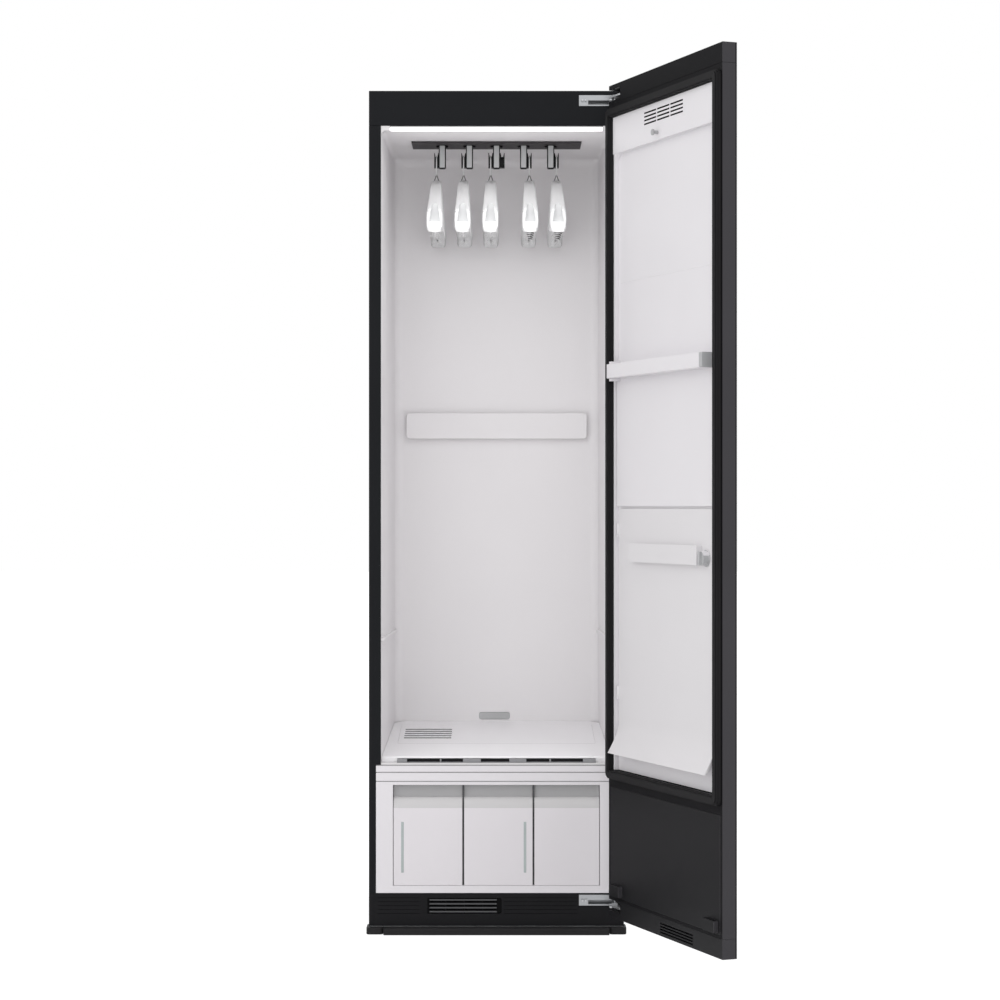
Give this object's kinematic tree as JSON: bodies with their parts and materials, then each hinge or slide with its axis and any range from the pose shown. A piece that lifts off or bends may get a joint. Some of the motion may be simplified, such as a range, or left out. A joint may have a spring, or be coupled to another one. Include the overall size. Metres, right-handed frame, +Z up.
{
  "type": "clothes care steam cabinet",
  "caption": "Tall free-standing clothes care cabinet, its door swung open on link hinges, with hangers on turning hooks, pull-out containers, a lift-out filter and a trouser press in the door.",
  "frame": {"origin": "on the floor, on the plinth's underside, under the middle of the cabinet's front face", "axes": "+Z up along the cabinet's height, +Y from the front face back into the cabinet, +X towards the side the door is hinged on"},
  "size_m": [0.8041, 1.1847, 1.96],
  "materials": {
    "charcoal_steel": "satin charcoal paint",
    "zinc_steel": "plain zinc-coated sheet",
    "hinge_steel": "bright plated",
    "aluminium": "plain",
    "cast_body": "black enamel",
    "white_plastic": "fine satin",
    "hanger_white": "gloss",
    "light_lens": "milky, lit from behind",
    "dark_plastic": "satin",
    "black_plastic": "satin",
    "door_edge_plastic": "satin",
    "hook_grey": "satin",
    "board_green": "plain",
    "door_glass": "dark, back-coated",
    "black_rubber": "soft"
  },
  "bodies": {
    "cabinet": {"outer_casing": "charcoal_steel", "back_panel": "zinc_steel", "header_panel": "charcoal_steel", "cavity_liner": "white_plastic", "light_strip": "light_lens", "hanger_rail_plate": "dark_plastic", "hanger_drive": "zinc_steel", "rear_bar": "white_plastic", "floor_ramp": "white_plastic", "air_slot_grille": "dark_plastic", "tank_bay": "white_plastic", "fascia": "black_plastic", "plinth_strip": "charcoal_steel", "plinth_corner_left": "black_plastic", "plinth_corner_right": "black_plastic", "base_pan": "zinc_steel", "foot_front_left": "black_rubber", "foot_front_right": "black_rubber", "foot_rear_left": "black_rubber", "foot_rear_right": "black_rubber", "hinge_body_top": "hinge_steel", "hinge_body_bottom": "hinge_steel", "compressor": "cast_body", "heat_exchanger": "aluminium", "fan_housing": "dark_plastic", "steam_generator": "aluminium", "control_box": "board_green"},
    "fan_wheel": {"fan_impeller": "dark_plastic"},
    "turning_hook_1": {"hook_1": "hook_grey"},
    "turning_hook_2": {"hook_2": "hook_grey"},
    "turning_hook_3": {"hook_3": "hook_grey"},
    "turning_hook_4": {"hook_4": "hook_grey"},
    "turning_hook_5": {"hook_5": "hook_grey"},
    "hanging_1": {"hanger_1": "hanger_white"},
    "hanging_2": {"hanger_2": "hanger_white"},
    "hanging_3": {"hanger_3": "hanger_white"},
    "hanging_4": {"hanger_4": "hanger_white"},
    "hanging_5": {"hanger_5": "hanger_white"},
    "filter": {"lint_filter": "white_plastic"},
    "supply_container": {"water_supply_tank": "white_plastic"},
    "drain_container": {"drain_tank": "white_plastic"},
    "drawer": {"side_drawer": "white_plastic"},
    "top_arm": {"hinge_arm_top": "hinge_steel"},
    "top_link": {"hinge_link_top": "hinge_steel"},
    "bottom_arm": {"hinge_arm_bottom": "hinge_steel"},
    "bottom_link": {"hinge_link_bottom": "hinge_steel"},
    "door": {"door_outer_panel": "door_glass", "door_frame": "door_edge_plastic", "door_top_cap": "black_plastic", "door_bottom_cap": "black_plastic", "door_lower_panel": "black_plastic", "door_gasket": "black_rubber", "door_liner": "white_plastic", "press_back_panel": "white_plastic", "hinge_cup_top": "hinge_steel", "hinge_cup_bottom": "hinge_steel"},
    "hem_clamp": {"hem_clamp_bar": "white_plastic", "hem_clamp_cap": "hinge_steel"},
    "plate": {"press_plate": "white_plastic"},
    "knob": {"press_knob": "hinge_steel"}
  },
  "joints": [
    {"name": "door_hinge", "type": "hinge", "parent": "cabinet", "child": "door", "pos_m": [0.295, -0.052, 1], "axis": [0, 0, 1], "range_deg": [-110.8, 0]},
    {"name": "top_arm_pin", "type": "hinge", "parent": "cabinet", "child": "top_arm", "pos_m": [0.276, -0.002, 1.929], "axis": [0, 0, 1], "range_deg": [-110.8, 0]},
    {"name": "top_link_pin", "type": "hinge", "parent": "top_arm", "child": "top_link", "pos_m": [0.26674, -0.05366, 1.929], "axis": [0, 0, 1], "range_deg": [0, 110.8]},
    {"name": "bottom_arm_pin", "type": "hinge", "parent": "cabinet", "child": "bottom_arm", "pos_m": [0.276, -0.002, 0.07], "axis": [0, 0, 1], "range_deg": [-110.8, 0]},
    {"name": "bottom_link_pin", "type": "hinge", "parent": "bottom_arm", "child": "bottom_link", "pos_m": [0.26674, -0.05366, 0.07], "axis": [0, 0, 1], "range_deg": [0, 110.8]},
    {"name": "hook_1_turn", "type": "hinge", "parent": "cabinet", "child": "turning_hook_1", "pos_m": [-0.1308, 0.227, 1.86], "axis": [0, 0, 1], "range_deg": [-15, 15]},
    {"name": "hook_2_turn", "type": "hinge", "parent": "cabinet", "child": "turning_hook_2", "pos_m": [-0.0654, 0.227, 1.86], "axis": [0, 0, 1], "range_deg": [-15, 15]},
    {"name": "hook_3_turn", "type": "hinge", "parent": "cabinet", "child": "turning_hook_3", "pos_m": [0, 0.227, 1.86], "axis": [0, 0, 1], "range_deg": [-15, 15]},
    {"name": "hook_4_turn", "type": "hinge", "parent": "cabinet", "child": "turning_hook_4", "pos_m": [0.0654, 0.227, 1.86], "axis": [0, 0, 1], "range_deg": [-15, 15]},
    {"name": "hook_5_turn", "type": "hinge", "parent": "cabinet", "child": "turning_hook_5", "pos_m": [0.1308, 0.227, 1.86], "axis": [0, 0, 1], "range_deg": [-15, 15]},
    {"name": "hanger_1_swing", "type": "hinge", "parent": "turning_hook_1", "child": "hanging_1", "pos_m": [-0.1448, 0.227, 1.8398], "axis": [0, 1, 0], "range_deg": [-7, 7]},
    {"name": "hanger_2_swing", "type": "hinge", "parent": "turning_hook_2", "child": "hanging_2", "pos_m": [-0.0794, 0.227, 1.8398], "axis": [0, 1, 0], "range_deg": [-7, 7]},
    {"name": "hanger_3_swing", "type": "hinge", "parent": "turning_hook_3", "child": "hanging_3", "pos_m": [-0.014, 0.227, 1.8398], "axis": [0, 1, 0], "range_deg": [-7, 7]},
    {"name": "hanger_4_swing", "type": "hinge", "parent": "turning_hook_4", "child": "hanging_4", "pos_m": [0.0794, 0.227, 1.8398], "axis": [0, 1, 0], "range_deg": [-7, 7]},
    {"name": "hanger_5_swing", "type": "hinge", "parent": "turning_hook_5", "child": "hanging_5", "pos_m": [0.1448, 0.227, 1.8398], "axis": [0, 1, 0], "range_deg": [-7, 7]},
    {"name": "filter_lift", "type": "slide", "parent": "cabinet", "child": "filter", "axis": [0, -0.0965, 0.9953], "range_m": [0, 0.12]},
    {"name": "supply_container_pull", "type": "slide", "parent": "cabinet", "child": "supply_container", "axis": [0, -1, 0], "range_m": [0, 0.22]},
    {"name": "drain_container_pull", "type": "slide", "parent": "cabinet", "child": "drain_container", "axis": [0, -1, 0], "range_m": [0, 0.22]},
    {"name": "drawer_pull", "type": "slide", "parent": "cabinet", "child": "drawer", "axis": [0, -1, 0], "range_m": [0, 0.22]},
    {"name": "fan_spin", "type": "hinge", "parent": "cabinet", "child": "fan_wheel", "pos_m": [0.175, 0.51, 0.122], "axis": [0, 1, 0], "continuous": true},
    {"name": "hem_clamp_pin", "type": "hinge", "parent": "door", "child": "hem_clamp", "pos_m": [0.26643, -0.11634, 1.301], "axis": [0, 0, -1], "range_deg": [0, 30]},
    {"name": "press_plate_pin", "type": "hinge", "parent": "door", "child": "plate", "pos_m": [0.27942, -0.10392, 0.745], "axis": [0, 0, -1], "range_deg": [0, 25]},
    {"name": "press_knob_turn", "type": "hinge", "parent": "plate", "child": "knob", "pos_m": [0.44034, -0.54021, 0.884], "axis": [-0.9348, -0.3551, 0], "range_deg": [0, 90]}
  ],
  "couplings": [
    {"joint": "top_arm_pin", "follows": "door_hinge", "ratio": 1},
    {"joint": "top_link_pin", "follows": "door_hinge", "ratio": -1},
    {"joint": "bottom_arm_pin", "follows": "door_hinge", "ratio": 1},
    {"joint": "bottom_link_pin", "follows": "door_hinge", "ratio": -1},
    {"joint": "hook_2_turn", "follows": "hook_1_turn", "ratio": 1},
    {"joint": "hook_3_turn", "follows": "hook_1_turn", "ratio": 1},
    {"joint": "hook_4_turn", "follows": "hook_1_turn", "ratio": 1},
    {"joint": "hook_5_turn", "follows": "hook_1_turn", "ratio": 1}
  ]
}
